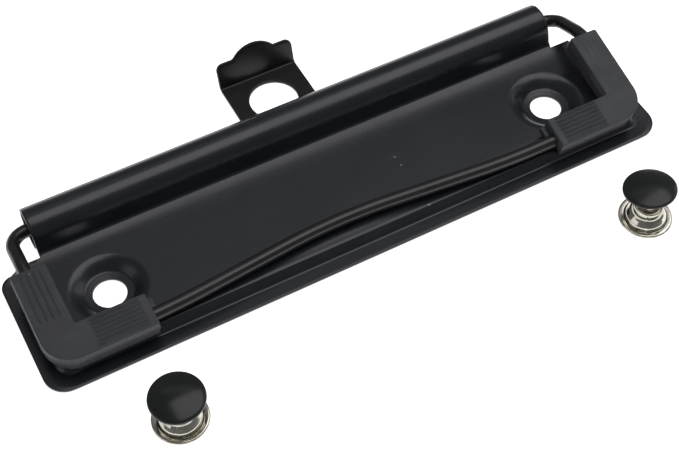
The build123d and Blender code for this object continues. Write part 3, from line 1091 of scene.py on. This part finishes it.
@dataclass
class Rivet:
    """A loose two-part rivet standing on its base: pan, tube, stud and cap."""

    side: str
    centre: Pair
    cap_under: float
    lean: float = 0.0
    base_r: float = 6.0
    cap_r: float = 5.85
    cap_rim: float = 1.1
    tube_r: float = 3.25
    stud_r: float = 2.3
    tube_top: float = 5.0
    fit_gap: float = 0.08
    seam_angle: float = -2.2
    lean_axis: Triple = (-0.954, -0.3, 0.0)

    def _lean(self, obj: Piece) -> Piece:
        """Leans a piece of the loose head over in the mouth of the tube."""
        pivot = Vector((*self.centre, self.tube_top - 0.2)) * MM
        turn = Matrix.Rotation(np.radians(self.lean), 4, Vector(self.lean_axis))
        obj.data.transform(Matrix.Translation(pivot) @ turn @ Matrix.Translation(-pivot))
        return obj

    def _section(self, points: Sequence[Triple], pitch: float) -> Contour:
        """A closed section from (radius, height, corner radius) points."""
        return Contour.of(points, pitch, 4)

    def _seam(self, pts: np.ndarray, ang: float) -> np.ndarray:
        """Presses a fine vertical seam into the tube wall."""
        off = (ang - self.seam_angle + np.pi) % (2 * np.pi) - np.pi
        depth = 0.10 * np.exp(-((off / 0.035) ** 2))
        zone = smooth(pts[:, 1], 0.9, 1.6) * (pts[:, 0] > self.tube_r - 0.3)
        return np.c_[pts[:, 0] - depth * zone, pts[:, 1]]

    def pan(self) -> Piece:
        """Base pan, its rim crimped over the flange of the tube."""
        r = self.base_r
        points = [
            (0.0, 0.0, 0.0), (r - 0.45, 0.0, 0.4), (r, 0.3, 0.3), (r, 0.95, 0.42), (r - 1.25, 0.93, 0.1),
            (r - 1.25, 0.68, 0.06), (r - 0.35, 0.66, 0.05), (r - 0.35, 0.3, 0.05), (0.0, 0.3, 0.0),
        ]
        return lathe(f"rivet_{self.side}_pan", self._section(points, 0.5), self.centre)

    def tube(self) -> Piece:
        """Drawn tube with a bell foot, a flange and a rolled mouth."""
        r, t = self.base_r, self.tube_r
        mouth = self.stud_r + self.fit_gap
        points = [
            (r - 0.37, 0.32, 0.03), (r - 0.37, 0.64, 0.03), (r - 1.3, 0.64, 0.1), (4.6, 0.95, 0.2),
            (4.42, 1.7, 0.9), (3.8, 2.5, 0.7), (t + 0.08, 2.95, 0.25), (t, 3.2, 0.1),
            (t, self.tube_top, 0.3), (mouth, self.tube_top, 0.15), (mouth, self.tube_top - 0.4, 0.1),
            (t - 0.32, self.tube_top - 0.4, 0.08), (t - 0.32, 3.0, 0.1), (3.45, 2.2, 0.5),
            (4.0, 1.3, 0.5), (4.12, 0.32, 0.05),
        ]
        section = self._section(points, 0.4)
        return lathe(f"rivet_{self.side}_barrel", section, self.centre, dent=self._seam, steps=180)

    def stud(self) -> Piece:
        """Stud with its head inside the cap."""
        s, c, u = self.stud_r, self.cap_r, self.cap_under
        points = [
            (0.0, 3.6, 0.0), (1.55, 3.6, 0.3), (s, 4.2, 0.3), (s, u + 0.18, 0.03), (s + 0.25, u + 0.31, 0.03),
            (c - 0.57, u + 0.32, 0.05), (c - 0.57, u + 0.62, 0.05), (0.0, u + 0.62, 0.0),
        ]
        return lathe(f"rivet_{self.side}_pin", self._section(points, 0.4), self.centre)

    def cap(self) -> Piece:
        """Domed cap with a rolled edge."""
        c, u = self.cap_r, self.cap_under
        rim, rise = c - 0.1, 1.1
        ball = (rim * rim + rise * rise) / (2 * rise)
        half = np.arcsin(rim / ball)
        arc = [
            (float(ball * np.sin(a)), float(u + self.cap_rim + 1.1 - ball * (1 - np.cos(a))), 0.0)
            for a in np.linspace(half, 0, 15)[1:]
        ]
        arc[-1] = (0.0, arc[-1][1], 0.0)
        points = [
            (c - 1.2, u, 0.08), (c - 0.42, u, 0.35), (c, u + 0.45, 0.3),
            (c, u + self.cap_rim - 0.1, 0.5), *arc, (0.0, u + 0.66, 0.0),
            (c - 0.55, u + 0.66, 0.04), (c - 0.55, u + 0.3, 0.04), (c - 1.2, u + 0.27, 0.08),
        ]
        return lathe(f"rivet_{self.side}_dome", self._section(points, 0.5), self.centre, steps=128)

    def build(self) -> None:
        """Makes the four parts of the rivet."""
        name = f"rivet_{self.side}"
        dress(self.pan(), RIVET_NICKEL, f"{name}_base", f"{name}_base_shell")
        dress(self.tube(), RIVET_NICKEL, f"{name}_base", f"{name}_tube")
        dress(self._lean(self.stud()), RIVET_NICKEL, f"{name}_head", f"{name}_stud")
        dress(self._lean(self.cap()), CAP_ENAMEL, f"{name}_head", f"{name}_cap")


# ------------------------------------------------------------------ studio


@dataclass
class Softbox:
    """A rectangular area light aimed at the middle of the clip."""

    name: str
    azimuth: float
    elevation: float
    distance: float
    size: Pair
    radiance: float
    colour: Triple = (1.0, 1.0, 1.0)

    def build(self) -> None:
        """Hangs the light. Azimuth 0 is over the rear and 90 to the right."""
        az, el = np.radians(self.azimuth), np.radians(self.elevation)
        place = self.distance * Vector((np.cos(el) * np.sin(az), np.cos(el) * np.cos(az), np.sin(el)))
        light = bpy.data.lights.new(self.name, "AREA")
        light.shape = "RECTANGLE"
        light.size, light.size_y = self.size
        light.energy = self.radiance * np.pi * self.size[0] * self.size[1]
        light.color = self.colour
        obj = bpy.data.objects.new(self.name, light)
        obj.location = place
        obj.rotation_euler = (-place).to_track_quat("-Z", "Y").to_euler()
        bpy.context.scene.collection.objects.link(obj)


@dataclass
class Studio:
    """Pale floor, soft light and the camera."""

    eye: Triple = (-0.08579, -0.15952, 0.23584)
    look: Triple = (0.28079, 0.52156, -0.80569)
    lens: float = 70.56
    floor_half: float = 2.5
    floor_glow: float = 0.9
    ambient: float = 0.17
    boxes: tuple[Softbox, ...] = (
        Softbox("overhead_box", 88.0, 74.0, 0.8, (0.58, 0.75), 1.9),
        Softbox("rear_sky", 28.0, 55.0, 1.1, (1.1, 0.26), 0.36),
        Softbox("left_panel", -88.0, 24.0, 1.0, (0.7, 0.45), 0.9),
        Softbox("right_panel", 92.0, 24.0, 1.0, (0.7, 0.45), 0.9),
    )

    def floor(self) -> None:
        """Lays a pale floor that glows a little, as paper under soft light does."""
        s = self.floor_half / MM
        verts = np.array([(-s, -s, 0), (s, -s, 0), (s, s, 0), (-s, s, 0)], float)
        obj = new_object("paper_floor", verts, [(0, 1, 2, 3)])
        obj.location.z = -0.00002
        mat = bpy.data.materials.new("paper")
        mat.use_nodes = True
        shader = mat.node_tree.nodes["Principled BSDF"]
        shader.inputs["Base Color"].default_value = (0.9, 0.9, 0.9, 1.0)
        shader.inputs["Roughness"].default_value = 0.9
        shader.inputs["Specular IOR Level"].default_value = 0.0
        shader.inputs["Emission Color"].default_value = (1.0, 1.0, 1.0, 1.0)
        shader.inputs["Emission Strength"].default_value = self.floor_glow
        obj.data.materials.append(mat)

    def camera(self) -> None:
        """Sets the camera."""
        cam = bpy.data.cameras.new("camera")
        cam.sensor_width = 36.0
        cam.lens = self.lens
        cam.clip_start = 0.01
        cam.clip_end = 20.0
        obj = bpy.data.objects.new("camera", cam)
        obj.location = self.eye
        obj.rotation_euler = Vector(self.look).to_track_quat("-Z", "Y").to_euler()
        bpy.context.scene.collection.objects.link(obj)
        bpy.context.scene.camera = obj

    def build(self) -> None:
        """Sets up the whole studio."""
        scene = bpy.context.scene
        scene.view_settings.view_transform = "Standard"
        scene.view_settings.look = "None"
        world = bpy.data.worlds.new("studio")
        world.use_nodes = True
        world.node_tree.nodes["Background"].inputs["Color"].default_value = (1.0, 1.0, 1.0, 1.0)
        world.node_tree.nodes["Background"].inputs["Strength"].default_value = self.ambient
        scene.world = world
        for box in self.boxes:
            box.build()
        self.floor()
        self.camera()


def main() -> None:
    logging.basicConfig(level=logging.INFO, format="%(name)s: %(message)s")
    JawPlate().build()
    LeverWire().build()
    CornerPad(-1, 49.7, 65.1, 72.9, -3.4, 20.0, knee=(10.5, 7.5), flash=0.22).build()
    CornerPad(1, 48.5, 64.8, 71.8, -3.0, 20.5, knee=(8.5, 10.2), flash=0.1, side_rib_height=0.07).build()
    HangingTab().build()
    Rivet("left", (-54.0, -34.0), cap_under=7.85).build()
    Rivet("right", (56.7, -37.0), cap_under=9.0, lean=9.0).build()
    Studio().build()


if __name__ == "__main__":
    main()
